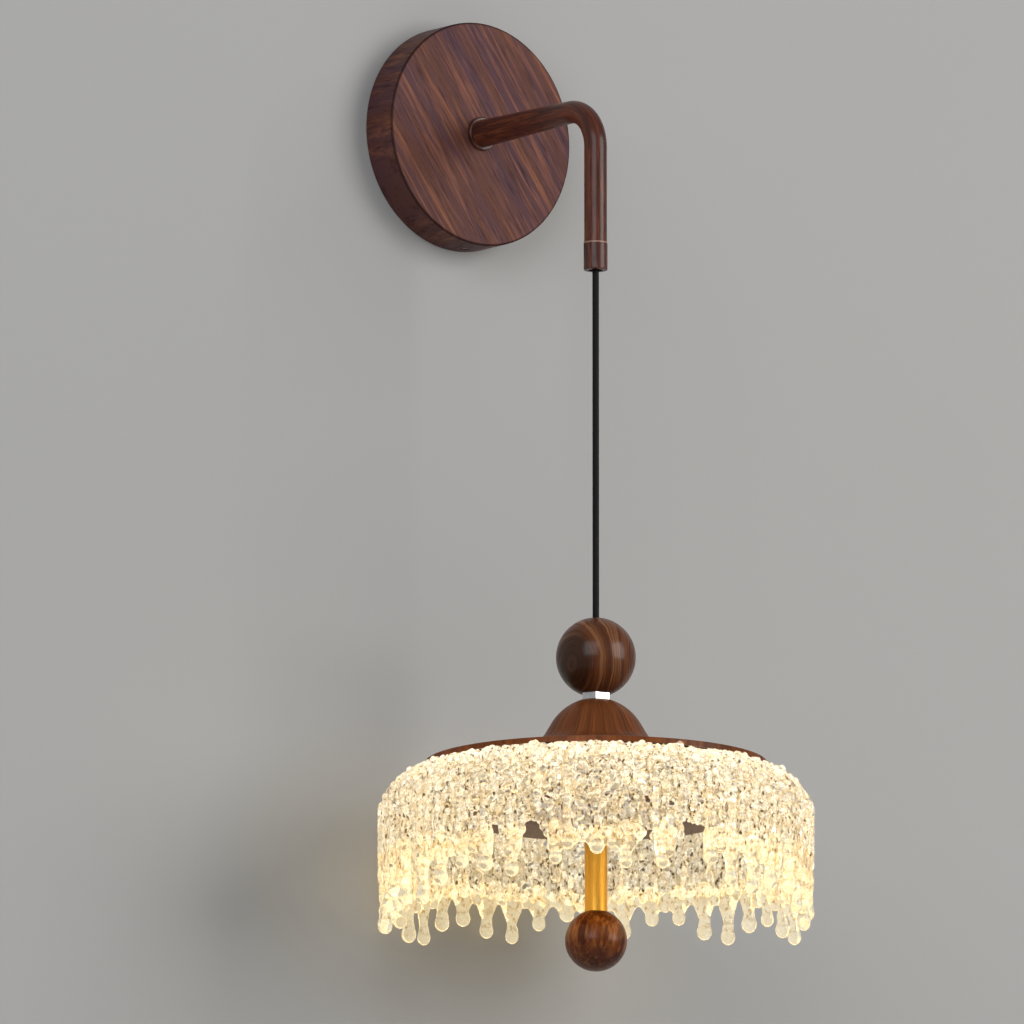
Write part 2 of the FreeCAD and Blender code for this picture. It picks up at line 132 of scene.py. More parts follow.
bands = grain_noise(0.42, 3, 0.40, 0.64)
streaks = grain_noise(1.35, 4, 0.50, 0.72)
lines = grain_noise(3.8, 4, 0.52, 0.70)
pores = grain_noise(9.0, 2, 0.56, 0.72)
colour = blend_colour(wood_grain, bands, grain_in["Body"], grain_in["Band"])
colour = blend_colour(wood_grain, times(wood_grain, streaks, 0.85), colour, grain_in["Streak"])
colour = blend_colour(wood_grain, times(wood_grain, lines, 0.7), colour, grain_in["Line"])
colour = blend_colour(wood_grain, times(wood_grain, pores, 0.45), colour, grain_in["Line"])
wood_grain.links.new(colour, grain_out["Color"])
wood_grain.links.new(spread(wood_grain, lines, 0, 1, 0.38, 0.56), grain_out["Roughness"])
wood_grain.links.new(spread(wood_grain, pores, 0, 1, 1, 0), grain_out["Height"])


def put_on(tree, shader, skin, bump):
    """Leads a group's colour, roughness and height into a shader."""
    tree.links.new(skin.outputs["Color"], shader.inputs["Base Color"])
    tree.links.new(skin.outputs["Roughness"], shader.inputs["Roughness"])
    bumped(tree, shader, skin.outputs["Height"], SKIN_RELIEF, bump)


def lay_grain(tree, shader, place, body, band, streak, line):
    """Puts the wood grain on a shader and gives back its colour socket."""
    inputs = {"Place": place, "Body": body, "Band": band, "Streak": streak, "Line": line}
    grain = add(tree, "Group", inputs, node_tree=wood_grain)
    put_on(tree, shader, grain, GRAIN_BUMP)
    return grain.outputs["Color"]


def cad_place(tree):
    """A point's place in the CAD frame."""
    return add(tree, "TexCoord", {}).outputs["Object"]


def axes(tree, place):
    """The three coordinates of a place."""
    return add(tree, "SeparateXYZ", {0: place}).outputs


def distance(tree, place):
    """How far a place is from the origin."""
    return add(tree, "VectorMath", {0: place}, operation="LENGTH").outputs["Value"]


def placed(tree, point=(0, 0, 0), turn=(0, 0, 0), size=(1, 1, 1)):
    """A place counted from a point, turned, and divided by the pattern's size."""
    inputs = {"Vector": cad_place(tree), "Location": point, "Rotation": [math.radians(a) for a in turn],
              "Scale": size}
    return add(tree, "Mapping", inputs, vector_type="TEXTURE").outputs["Vector"]


PLATE_R, PLATE_FRONT = 0.06, -0.022
EDGE_RADII = (PLATE_R - 0.0013, PLATE_R - 0.0006)
EDGE_DEPTHS = (PLATE_FRONT + 0.0015, PLATE_FRONT + 0.0008)
SIDE_DEPTHS = (PLATE_FRONT + 0.0006, PLATE_FRONT + 0.0012)
INSIDE_RADII = (PLATE_R - 0.0008, PLATE_R - 0.001)
INSIDE_DEPTHS = (PLATE_FRONT + 0.0007, PLATE_FRONT + 0.0009)
plate_finish, tree, shader = new_finish("plate_rosewood_film", Specular_IOR_Level=0.06)
grained = lay_grain(tree, shader, placed(tree, turn=(0, -35.6, 0), size=(0.0037, 0.04, 0.075)),
                    tint(104, 66, 56), tint(90, 62, 70), tint(156, 100, 76), tint(52, 32, 30))
where = axes(tree, cad_place(tree))
radius = distance(tree, add(tree, "CombineXYZ", {"X": where["X"], "Y": where["Z"]}).outputs[0])
# Painted shade: a dark line round the front edge, where a fine groove lies in shadow.
edge = times(tree, spread(tree, radius, *EDGE_RADII), spread(tree, where["Y"], *EDGE_DEPTHS))
edged = blend_colour(tree, times(tree, edge, 0.75), grained, tint(34, 20, 18))
# Painted shade: the side of the plate is darkened.
side = times(tree, spread(tree, where["Y"], *SIDE_DEPTHS), 0.25)
edged = blend_colour(tree, side, edged, tint(44, 22, 18))
inside = times(tree, spread(tree, where["Y"], *INSIDE_DEPTHS), spread(tree, radius, *INSIDE_RADII))
tree.links.new(blend_colour(tree, inside, edged, tint(128, 126, 123)), shader.inputs["Base Color"])
dress(plate_finish, "canopy")


# Wall strap and fasteners: zinc-plated steel, punched and bent, with the screws and nuts that
# hold the plate to it and the arm to the plate. All of it is hidden once the lamp is up.
mottle, mottle_in, mottle_out = new_group(
    "surface_mottle", {"Place": "Vector", "Scale": "Float", "First": "Color", "Second": "Color",
                       "Smooth": "Float", "Rough": "Float"}, SKIN)
patch = add(mottle, "TexNoise", {"Vector": mottle_in["Place"], "Scale": mottle_in["Scale"], "Detail": 4.0})
share = spread(mottle, patch.outputs[0], 0.35, 0.65)
mottle.links.new(blend_colour(mottle, share, mottle_in["First"], mottle_in["Second"]), mottle_out["Color"])
rough = add(mottle, "Mix", {0: share, 2: mottle_in["Smooth"], 3: mottle_in["Rough"]})
mottle.links.new(rough.outputs[0], mottle_out["Roughness"])
mottle.links.new(share, mottle_out["Height"])


def lay_mottle(tree, shader, place, scale, first, second, smooth, rough, bump):
    """Puts small changes of colour and gloss on a shader."""
    inputs = {"Place": place, "Scale": scale, "First": first, "Second": second, "Smooth": smooth,
              "Rough": rough}
    put_on(tree, shader, add(tree, "Group", inputs, node_tree=mottle), bump)


def mottled_finish(name, scale, first, second, smooth, rough, bump=0.05, **sockets):
    """A material with no pattern of its own beyond small patches."""
    material, tree, shader = new_finish(name, **sockets)
    lay_mottle(tree, shader, placed(tree), scale, first, second, smooth, rough, bump)
    return material


zinc = mottled_finish("zinc_plate", 260.0, tint(186, 188, 192), tint(160, 163, 170), 0.28, 0.42, Metallic=1.0)
dress(zinc, "mounting_strap", "rim_screws", "arm_nipple", "arm_washer", "arm_lock_nut", "hanger_nipple",
      "head_lock_nut", "finial_stud", "terminal_screws")
earth_brass = mottled_finish("earth_screw_brass", 400.0, tint(214, 172, 96), tint(196, 150, 76), 0.25, 0.4,
                             Metallic=1.0)
dress(earth_brass, "earth_screw")


# Wiring inside the plate: a white moulded driver, a terminal block and sleeved wires.
# The cord grips in the arm and in the ball are moulded in the same white plastic.
white_moulded = mottled_finish("white_moulded", 900.0, tint(232, 230, 224), tint(220, 218, 210), 0.42, 0.55,
                               0.08)
dress(white_moulded, "led_driver", "terminal_block", "cord_grip", "head_cord_grip")
red_sleeve = mottled_finish("red_wire_sleeve", 700.0, tint(178, 34, 26), tint(150, 26, 22), 0.35, 0.5)
dress(red_sleeve, "driver_wires", "led_tail")


# Arm: a steel tube that tapers from its root, bends once and drops to the ferrule. The film on
# it is cut along the grain, so the grain follows the bend. The tube screws on to a hollow nipple
# that goes through the collar and the plate.
ARM_START, ARM_END = -0.0242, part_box("arm_tube")[0].z
REACH, BEND_R = 0.12, 0.022
ROOT_R, TUBE_R, TUBE_WALL = 0.0073, 0.006, 0.001
TUBE_SIDES, TAPER_STEPS, BEND_STEPS, SAME_POINT = 48, 8, 20, 1e-6
BEND_AT = Vector((0, BEND_R - REACH, -BEND_R))


def deselect():
    """Leaves nothing selected, so that an operator acts on the new piece alone."""
    bpy.ops.object.select_all(action="DESELECT")


def apply_modifier(piece, kind, **settings):
    """Adds a modifier and applies it at once."""
    deselect()
    bpy.context.view_layer.objects.active = piece
    piece.select_set(True)
    modifier = piece.modifiers.new(kind.lower(), kind)
    for name, value in settings.items():
        setattr(modifier, name, value)
    bpy.ops.object.modifier_apply(modifier=modifier.name)


deselect()
bpy.ops.mesh.primitive_circle_add(vertices=TUBE_SIDES, radius=ROOT_R, location=(0, ARM_START, 0),
                                  rotation=(math.radians(90), 0, 0))
arm = bpy.context.object
arm.name = "arm_tube_grained"
bpy.ops.object.transform_apply()
bpy.ops.object.mode_set(mode="EDIT")
bpy.ops.mesh.select_all(action="SELECT")
taper_step = (BEND_AT.y - ARM_START) / TAPER_STEPS
for step in range(TAPER_STEPS):
    before = ROOT_R + (TUBE_R - ROOT_R) * step / TAPER_STEPS
    after = ROOT_R + (TUBE_R - ROOT_R) * (step + 1) / TAPER_STEPS
    bpy.ops.mesh.extrude_region_move(TRANSFORM_OT_translate={"value": (0, taper_step, 0)})
    bpy.ops.transform.resize(value=(after / before, 1, after / before), center_override=(0, 0, 0))
bpy.ops.mesh.spin(steps=BEND_STEPS, angle=math.radians(-90), center=BEND_AT, axis=(1, 0, 0))
bpy.ops.mesh.extrude_region_move(TRANSFORM_OT_translate={"value": (0, 0, ARM_END + BEND_R)})
bpy.ops.mesh.select_all(action="SELECT")
bpy.ops.mesh.remove_doubles(threshold=SAME_POINT)
bpy.ops.mesh.normals_make_consistent(inside=False)
bpy.ops.object.mode_set(mode="OBJECT")
apply_modifier(arm, "SOLIDIFY", thickness=TUBE_WALL, offset=-1)
bpy.ops.object.shade_smooth_by_angle(angle=math.radians(40))

points = np.array([v.co for v in arm.data.vertices])
from_bend = points - np.array(BEND_AT)
around = np.arctan2(-from_bend[:, 1], from_bend[:, 2])
bend_end = BEND_R * math.pi / 2
on_leg = from_bend[:, 2] < 0
on_bend = (from_bend[:, 1] < 0) & ~on_leg
straight = np.stack([points[:, 0], points[:, 2], -from_bend[:, 1]], axis=1)
straight[on_bend, 1] = np.hypot(from_bend[on_bend, 1], from_bend[on_bend, 2]) - BEND_R
straight[on_bend, 2] = BEND_R * around[on_bend]
straight[on_leg, 1] = -from_bend[on_leg, 1] - BEND_R
straight[on_leg, 2] = bend_end - from_bend[on_leg, 2]
arm.data.attributes.new("along_grain", "FLOAT_VECTOR", "POINT").data.foreach_set(
    "vector", straight.astype(np.float32).ravel())

SATIN = {"Specular_IOR_Level": 0.08, "Coat_Weight": 0.5, "Coat_Roughness": 0.22}
arm_finish, tree, shader = new_finish("arm_rosewood_film", **SATIN)
along = add(tree, "Attribute", {}, attribute_name="along_grain").outputs["Vector"]
along = add(tree, "Mapping", {"Vector": along, "Scale": (0.0036, 0.0036, 0.045)}, vector_type="TEXTURE")
lay_grain(tree, shader, along.outputs["Vector"], tint(98, 50, 36), tint(64, 35, 29), tint(138, 74, 46),
          tint(36, 18, 15))
arm.data.materials.append(arm_finish)
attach(arm, "wall_mount")
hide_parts("arm_tube")


# Collar and ferrule: turned steel rings with the same film. The collar sits on the nipple between
# plate and arm, and the ferrule's spigot is pushed into the arm's end. A pale line of painted
# highlight runs along the ferrule's top edge.
HIGHLIGHT_LOW, HIGHLIGHT_HIGH, HIGHLIGHT_FADE = ARM_END - 0.0009, ARM_END + 0.001, 0.0005
ring_finish, tree, shader = new_finish("ring_rosewood_film", **SATIN)
grained = lay_grain(tree, shader, placed(tree, size=(0.0036, 0.0036, 0.03)),
                    tint(84, 46, 38), tint(58, 32, 28), tint(128, 76, 56), tint(34, 18, 15))
height = axes(tree, cad_place(tree))["Z"]
# Painted highlight: a pale band along the ferrule's top edge.
edge_highlight = times(tree, spread(tree, height, HIGHLIGHT_LOW, HIGHLIGHT_LOW + HIGHLIGHT_FADE),
                  spread(tree, height, HIGHLIGHT_HIGH, HIGHLIGHT_HIGH - HIGHLIGHT_FADE))
tree.links.new(blend_colour(tree, times(tree, edge_highlight, 0.7), grained, tint(190, 150, 132)),
               shader.inputs["Base Color"])
dress(ring_finish, "arm_collar", "end_ferrule")


# Cord: a black two-core flex with a fine slanting rib on its sheath. It leaves the ferrule's
# mouth, hangs straight under the head's weight and goes into the top ball, where a grip holds it.
CORD_R, CORD_SPANS = 0.00175, 4
cord_top, cord_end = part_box("pendant_cord")[1].z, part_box("pendant_cord")[0].z
flex = bpy.data.curves.new("pendant_flex", "CURVE")
flex.dimensions = "3D"
flex.bevel_depth = CORD_R
flex.bevel_resolution = 6
flex.use_fill_caps = True
route = flex.splines.new("NURBS")
route.points.add(CORD_SPANS)
for step, point in enumerate(route.points):
    point.co = (0, -REACH, cord_top + (cord_end - cord_top) * step / CORD_SPANS, 1)
route.order_u = 3
route.use_endpoint_u = True
cord = bpy.data.objects.new("pendant_flex", flex)
bpy.context.scene.collection.objects.link(cord)
cord_finish, tree, shader = new_finish("black_flex", Specular_IOR_Level=0.15)
weave = add(tree, "TexWave", {"Vector": placed(tree, turn=(0, 38, 0), size=(0.001, 0.001, 0.001)),
                              "Scale": 1.4, "Distortion": 1.0})
lay_mottle(tree, shader, placed(tree), 900.0, tint(14, 13, 13), tint(22, 20, 19), 0.42, 0.6, 0.05)
bumped(tree, shader, weave.outputs[1], 0.0001, 0.25)
flex.materials.append(cord_finish)
dress(cord_finish, "arm_lead", "head_lead")
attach(cord, "pendant_cord")
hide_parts("pendant_cord", "cord_neck")


# Top ball: turned walnut, oiled, with a saw-cut that shows the year rings as arcs. The cord
# enters it from above, and the hanger nipple below clamps it on the collar nut.
ball_low, ball_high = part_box("top_ball")
RING_CENTRE = (-0.0101, -0.112, (ball_low.z + ball_high.z) / 2 - 0.007)
RING_SQUEEZE, RING_WANDER, RING_SCALE, ALONG_SCALE = 0.62, 0.0035, 360.0, 12.0
DARKER_R, DARKER_CORE_R = 0.0135, 0.007
walnut, tree, shader = new_finish("walnut_rings", Specular_IOR_Level=0.1, Coat_Weight=0.4, Coat_Roughness=0.2)
across = placed(tree, RING_CENTRE, (90, 0, -38))
parts = axes(tree, across)
flat = add(tree, "CombineXYZ", {"X": parts["X"], "Y": times(tree, parts["Y"], RING_SQUEEZE)}).outputs[0]
wander = add(tree, "TexNoise", {"Vector": across, "Scale": 70.0, "Detail": 2.0}).outputs[0]
ring = add(tree, "Math", {0: wander, 1: RING_WANDER, 2: distance(tree, flat)},
           operation="MULTIPLY_ADD").outputs[0]
rings = add(tree, "CombineXYZ", {"X": times(tree, ring, RING_SCALE),
                                 "Z": times(tree, parts["Z"], ALONG_SCALE)}).outputs[0]
grained = lay_grain(tree, shader, rings, tint(108, 60, 32), tint(72, 40, 22), tint(166, 112, 74),
                    tint(36, 18, 9))
# The colour darkens towards the rings' centre, which lies on the ball's lower left towards the camera.
darker_centre = times(tree, spread(tree, ring, DARKER_R, DARKER_CORE_R), 0.85)
tree.links.new(blend_colour(tree, darker_centre, grained, tint(48, 30, 18)), shader.inputs["Base Color"])
dress(walnut, "top_ball")


# Collar nut: a flat hexagon nut, polished and chromed, between the ball and the hat. The hanger
# nipple goes through it and clamps the three together.
chrome = mottled_finish("chrome", 500.0, tint(226, 226, 228), tint(206, 207, 210), 0.08, 0.16, 0.02,
                        Metallic=1.0)
dress(chrome, "collar_nut")


# Hat: spun steel with the rosewood film, drawn down over the dome so that the grain runs from
# the top to the brim. The hanger nipple clamps it, and a gasket lies between brim and glass.
FAN_SCALE, SPOKE_SCALE = 7.5, 16.0
hat_finish, tree, shader = new_finish("hat_rosewood_film", Specular_IOR_Level=0.15)
parts = axes(tree, placed(tree, (0, -REACH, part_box("hat")[1].z)))
flat = add(tree, "CombineXYZ", {"X": parts["X"], "Y": parts["Y"]}).outputs[0]
spoke = axes(tree, add(tree, "VectorMath", {0: flat}, operation="NORMALIZE").outputs["Vector"])
fan = add(tree, "CombineXYZ", {"X": times(tree, spoke["X"], FAN_SCALE),
                               "Y": times(tree, spoke["Y"], FAN_SCALE),
                               "Z": times(tree, distance(tree, flat), SPOKE_SCALE)}).outputs[0]
lay_grain(tree, shader, fan, tint(122, 68, 34), tint(92, 50, 26), tint(156, 90, 46), tint(64, 32, 14))
dress(hat_finish, "hat")


# Light source: a spun aluminium carrier under the hat with a white strip of lit chips round its
# skirt. A brown painted cover closes it from below, and a rubber gasket seals the glass.
aluminium = mottled_finish("spun_aluminium", 300.0, tint(205, 206, 208), tint(186, 187, 190), 0.25, 0.4,
                           Metallic=1.0)
dress(aluminium, "led_carrier")
seal = mottled_finish("seal_rubber", 900.0, tint(38, 36, 35), tint(28, 26, 26), 0.7, 0.85, 0.1)
dress(seal, "shade_gasket")
strip = mottled_finish("white_strip", 800.0, tint(240, 238, 230), tint(228, 226, 218), 0.4, 0.55)
dress(strip, "led_strip")
lit_chip, tree, shader = new_finish("lit_chip", Emission_Strength=4.0, Roughness=0.4)
phosphor = add(tree, "TexNoise", {"Vector": placed(tree), "Scale": 900.0})
glow = blend_colour(tree, phosphor.outputs[0], tint(255, 214, 150), tint(255, 232, 190))
tree.links.new(glow, shader.inputs["Emission Color"])
tree.links.new(glow, shader.inputs["Base Color"])
dress(lit_chip, "led_chips")
brown_paint = mottled_finish("brown_paint", 420.0, tint(120, 82, 70), tint(106, 71, 61), 0.4, 0.55, 0.06)
dress(brown_paint, "hub_cover")


# Glass shade: clear glass beads run together in a mould, thick at the shoulder and drawn out
# into runs towards the lower edge. It hangs by its flange under the hat.
SHADE_R, WALL, EDGE_Z = 0.113, 0.0045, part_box("glass_drips")[1].z
RING_R = SHADE_R - WALL / 2
SHOULDER_ROUND, SHOULDER_Z = 0.027, -0.3819
SHOULDER_R = SHADE_R - SHOULDER_ROUND
CONE_ANGLE, CONE_LENGTH = math.radians(80), 0.012
draw = random.Random(11)


def about(most):
    """A seeded draw to either side of nought."""
    return draw.uniform(-most, most)


def shell_point(down):
    """Radius, height and outward slope of the glass's middle, at a length down from the flange."""
    round_r = SHOULDER_ROUND - WALL / 2
    if down < CONE_LENGTH:
        back = CONE_LENGTH - down
        return (SHOULDER_R + round_r * math.cos(CONE_ANGLE) - back * math.sin(CONE_ANGLE),
                SHOULDER_Z + round_r * math.sin(CONE_ANGLE) + back * math.cos(CONE_ANGLE), CONE_ANGLE)
    angle = CONE_ANGLE - (down - CONE_LENGTH) / round_r
    if angle > 0:
        return SHOULDER_R + round_r * math.cos(angle), SHOULDER_Z + round_r * math.sin(angle), angle
    return RING_R, SHOULDER_Z + angle * round_r, 0.0


def drop_bead(heap, azimuth, radius, height, wide, tall):
    """Notes a bead by its place on the shade and its half sizes."""
    heap.append((azimuth % math.tau, radius, height, wide, tall))


DRIPS, DRIP_TURN = 92, math.radians(52)
DRIP_STEP = math.tau / DRIPS
NEAR_SIDE = DRIP_TURN + math.pi
# Each gap in the hem: its turn from the near side and its half width in degrees, and how far
# its top rises over the edge at its left and at its right.
WINDOWS = ((-27.6, 2.6, 0.007, 0.006), (-16.9, 4.6, 0.0065, 0.0015), (14.5, 2.2, 0.001, 0.001),
           (26.0, 5.2, 0.001, 0.010), (62, 2.5, 0.003, 0.003), (-60, 3, 0.004, 0.004),
           (104, 3, 0.005, 0.005), (-108, 2.5, 0.003, 0.003))


def beside_window(azimuth, height, margin=0.0):
    """The azimuth, or the nearest side of the gap in the hem that it would fall into."""
    for turn, half_turn, left_rise, right_rise in WINDOWS:
        middle, half = NEAR_SIDE + math.radians(turn), math.radians(half_turn)
        away = math.remainder(azimuth - middle, math.tau)
        share = min(max(away / half, -1), 1) / 2 + 0.5
        top = EDGE_Z + left_rise + (right_rise - left_rise) * share
        if height < top and abs(away) < half + margin:
            return middle + math.copysign(half + margin, away)
    return azimuth


ROW, PITCH, GLASS_LENGTH = 0.0024, 0.0028, 0.0645
BEAD_SIZES, BEAD_STRETCH = (0.0011, 0.0013, 0.0015, 0.0017, 0.0020, 0.0023), (1.0, 1.5)
BEAD_PROUD, BEAD_SHIFT, BEAD_LIFT = (-0.0012, 0.0022), 0.3, 0.0007
LOOSE_FROM, LOOSE_TO, LOOSE_GAPS, USUAL_GAPS = 0.018, 0.05, 0.08, 0.03
wall_beads = []
down = 0.0
while down < GLASS_LENGTH:
    radius, height, slope = shell_point(down)
    count = round(math.tau * radius / PITCH)
    start = draw.random()
    gap_share = LOOSE_GAPS if LOOSE_FROM < down < LOOSE_TO else USUAL_GAPS
    for step in range(count):
        azimuth = (step + start + about(BEAD_SHIFT)) * math.tau / count
        if draw.random() < gap_share or beside_window(azimuth, height) != azimuth:
            continue
        size = draw.choice(BEAD_SIZES)
        proud = draw.uniform(*BEAD_PROUD)
        drop_bead(wall_beads, azimuth, radius + proud * math.cos(slope),
                  height + proud * math.sin(slope) + about(BEAD_LIFT), size,
                  size * draw.uniform(*BEAD_STRETCH))
    down += ROW

# Each row of beads on the shoulder: its angle above the wall, and its turn counted in drips.
SHOULDER_ROWS = ((math.radians(29), 1), (math.radians(58), 0))
SHOULDER_BEAD_R = 0.0029
RUN_PROUD, RUN_SINK, RUN_SWAY, RUN_HEAD_R, RUN_HEAD_IN = 0.0015, 0.8, 0.004, 0.0032, 0.0011
RUN_TOP, RUN_WAVE, RUN_TURN, RUN_FOOT = SHOULDER_Z + 0.005, 0.003, 1.2, EDGE_Z + 0.003
RUN_TALL, RUN_WIDE, BESIDE = (0.0035, 0.006), (0.0020, 0.0027), 0.02
BEAD_PATH = SHOULDER_ROUND + RUN_PROUD - SHOULDER_BEAD_R
for place in range(0, DRIPS, 2):
    azimuth = DRIP_TURN + DRIP_STEP * place
    for angle, turn in SHOULDER_ROWS:
        drop_bead(wall_beads, azimuth + DRIP_STEP * turn, SHOULDER_R + BEAD_PATH * math.cos(angle),
                  SHOULDER_Z + BEAD_PATH * math.sin(angle), SHOULDER_BEAD_R, SHOULDER_BEAD_R)
    height = RUN_TOP + RUN_WAVE * math.sin(RUN_TURN * place)
    drop_bead(wall_beads, azimuth, SHADE_R - RUN_HEAD_IN, height, RUN_HEAD_R, RUN_HEAD_R)
    while height > RUN_FOOT:
        tall = draw.uniform(*RUN_TALL)
        wide = draw.uniform(*RUN_WIDE)
        beside = beside_window(azimuth + about(RUN_SWAY), height - tall, BESIDE)
        drop_bead(wall_beads, beside, SHADE_R + RUN_PROUD - RUN_SINK * wide, height, wide, tall)
        height -= tall

HEM_RUNS, HEM_DROP, HEM_SHARES = 250, 0.02, (0.3, 0.5, 0.7, 0.85, 1.0)
HEM_TOP, HEM_LIFT, HEM_BESIDE = (-0.399, -0.390), (0.003, 0.007), (0.0, 0.03)
HEM_TALL, HEM_WIDE, HEM_STEP = (0.003, 0.006), (0.0012, 0.0020), (0.9, 1.25)
HEM_END_WIDE, HEM_END_TALL = (0.0019, 0.0028), (0.0024, 0.0034)
HEM_SHIFT, HEM_SWAY, HEM_DEPTH, HEM_END_DEPTH = 0.3, 0.008, 0.0015, 0.001


def hem_reach(place):
    """How far the runs close the glass below the edge, at a place counted in drips."""
    return HEM_DROP * max(0.0, -math.cos(2 * DRIP_STEP * place))


for step in range(HEM_RUNS):
    place = (step + about(HEM_SHIFT)) * DRIPS / HEM_RUNS
    azimuth = DRIP_TURN + DRIP_STEP * place
    height = draw.uniform(*HEM_TOP)
    foot = EDGE_Z + draw.uniform(*HEM_LIFT) - hem_reach(place) * draw.choice(HEM_SHARES)
    azimuth = beside_window(azimuth, foot, draw.uniform(*HEM_BESIDE))
    while height > foot:
        tall = draw.uniform(*HEM_TALL)
        drop_bead(wall_beads, azimuth + about(HEM_SWAY), RING_R + about(HEM_DEPTH), height,
                  draw.uniform(*HEM_WIDE), tall)
        height -= tall * draw.uniform(*HEM_STEP)
    drop_bead(wall_beads, azimuth, RING_R + about(HEM_END_DEPTH), height, draw.uniform(*HEM_END_WIDE),
              draw.uniform(*HEM_END_TALL))

deselect()
bpy.ops.mesh.primitive_ico_sphere_add(subdivisions=2, radius=1)
one_bead = bpy.context.object
bead_points = np.array([v.co for v in one_bead.data.vertices])
bead_faces = np.array([tuple(p.vertices) for p in one_bead.data.polygons])
bpy.data.objects.remove(one_bead)

glass_flecks, fleck_in, fleck_out = new_group(
    "glass_flecks", {"Place": "Vector", "Top": "Float", "Pale": "Color", "Patch": "Color", "Crease": "Color",
                     "Fleck": "Color"}, {"Color": "Color"})


def glass_noise(scale, detail, distortion=0.0):
    """Outputs of a noise that goes through the glass."""
    inputs = {"Vector": fleck_in["Place"], "Scale": scale, "Detail": detail, "Distortion": distortion}
    return add(glass_flecks, "TexNoise", inputs).outputs


FLECK_BEND = (2.4, 2.4, 2.4)
patch = times(glass_flecks, spread(glass_flecks, glass_noise(0.17, 3.0)[0], 0.46, 0.62), 0.8)
cream = blend_colour(glass_flecks, patch, fleck_in["Pale"], fleck_in["Patch"])
# Painted shade: the glass is darkened in the creases between beads, for the shade its refraction throws.
crease = spread(glass_flecks, fleck_in["Top"], 0.45, 0.05)
cream = blend_colour(glass_flecks, crease, cream, fleck_in["Crease"])
# Painted shade: thin dark veins for the refraction lines in the glass.
vein = glass_noise(0.5, 2.0, 0.7)[0]
vein = add(glass_flecks, "Math", {0: vein, 1: 0.5}, operation="SUBTRACT").outputs[0]
vein = add(glass_flecks, "Math", {0: vein}, operation="ABSOLUTE").outputs[0]
vein = times(glass_flecks, spread(glass_flecks, vein, 0.07, 0.025), 0.75)
cream = blend_colour(glass_flecks, vein, cream, fleck_in["Crease"])
# Painted shade: dark flecks, set mostly in the creases, for shaded pits.
bent = add(glass_flecks, "VectorMath", {0: glass_noise(0.8, 1.0)["Color"], 1: FLECK_BEND,
                                        2: fleck_in["Place"]}, operation="MULTIPLY_ADD").outputs[0]
spot = add(glass_flecks, "TexVoronoi", {"Vector": bent, "Scale": 0.55, "Randomness": 1.0}).outputs
chosen = spread(glass_flecks, axes(glass_flecks, spot["Color"])["X"], 0.55, 0.6)
core = spread(glass_flecks, spot["Distance"], 0.52, 0.36)
deep = spread(glass_flecks, fleck_in["Top"], 0.8, 0.45)
fleck = times(glass_flecks, times(glass_flecks, core, chosen), deep)
glass_flecks.links.new(blend_colour(glass_flecks, fleck, cream, fleck_in["Fleck"]), fleck_out["Color"])

FLECK_SIZE = (0.001, 0.001, 0.0015)
# Heights and strengths of the glass's painted glow.
GLOW_LOW, GLOW_HIGH, BRIM_LOW, BRIM_HIGH = -0.425, -0.362, -0.368, -0.354
BRIM_GLOW, INNER_GLOW = 2.3, 1.4


def glass_finish(name, pale, patch, crease, fleck, rim_colour, glow, **sockets):
    """Glass with painted flecks and painted shade at its rims, and a painted glow that stands for the light
    from inside and fades towards the drips.
    """
    material, tree, shader = new_finish(name, IOR=1.46, **sockets)
    top = add(tree, "Attribute", {}, attribute_name="bead_top").outputs["Fac"]
    place = placed(tree, (0, -REACH, 0), size=FLECK_SIZE)
    inputs = {"Place": place, "Top": top, "Pale": pale, "Patch": patch, "Crease": crease, "Fleck": fleck}
    flecked = add(tree, "Group", inputs, node_tree=glass_flecks).outputs["Color"]
    # Painted shade: the rims of the beads, where they turn away, are darkened in the colour.
    rim = spread(tree, add(tree, "LayerWeight", {"Blend": 0.5}).outputs["Facing"], 0.45, 0.9)
    rimmed = blend_colour(tree, times(tree, rim, 0.75), flecked, rim_colour)
    tree.links.new(rimmed, shader.inputs["Base Color"])
    # Painted light: the glass glows by emission in place of the chips' light, brightest under the brim and on
    # the faces towards the chips, fading towards the drips.
    height = axes(tree, cad_place(tree))["Z"]
    warm = blend_colour(tree, spread(tree, height, GLOW_LOW, GLOW_HIGH), *glow)
    brim = spread(tree, height, BRIM_LOW, BRIM_HIGH)
    warm = blend_colour(tree, brim, warm, [BRIM_GLOW * c for c in glow[1]])
    inner = add(tree, "Attribute", {}, attribute_name="faces_light").outputs["Fac"]
    warm = blend_colour(tree, inner, warm, [INNER_GLOW * c for c in glow[0]])
    lit = add(tree, "Mix", {0: 1.0, 6: flecked, 7: warm}, data_type="RGBA", blend_type="MULTIPLY")
    tree.links.new(lit.outputs[2], shader.inputs["Emission Color"])
    material.cycles.emission_sampling = "NONE"
    return material


# Its crease, fleck and rim colours are painted shade, and its glow is painted light.
wall_glass = glass_finish("beaded_glass", tint(255, 255, 250), tint(248, 228, 196), tint(196, 180, 146),
                          tint(60, 42, 28), tint(140, 116, 84), (tint(255, 243, 216), tint(253, 247, 236)),
                          Roughness=0.03, Transmission_Weight=0.85, Emission_Strength=0.24)
VOXEL, SPECK_POINTS = 0.0007, 200


def read_points(mesh, kind):
    """The vertices' places or normals, a row each."""
    values = np.zeros(len(mesh.vertices) * 3, np.float32)
    mesh.vertices.foreach_get(kind, values)
    return values.reshape(-1, 3)


def read_edges(mesh):
    """The two vertices of each edge, a row each."""
    ends = np.zeros(len(mesh.edges) * 2, np.int32)
    mesh.edges.foreach_get("vertices", ends)
    return ends.reshape(-1, 2)


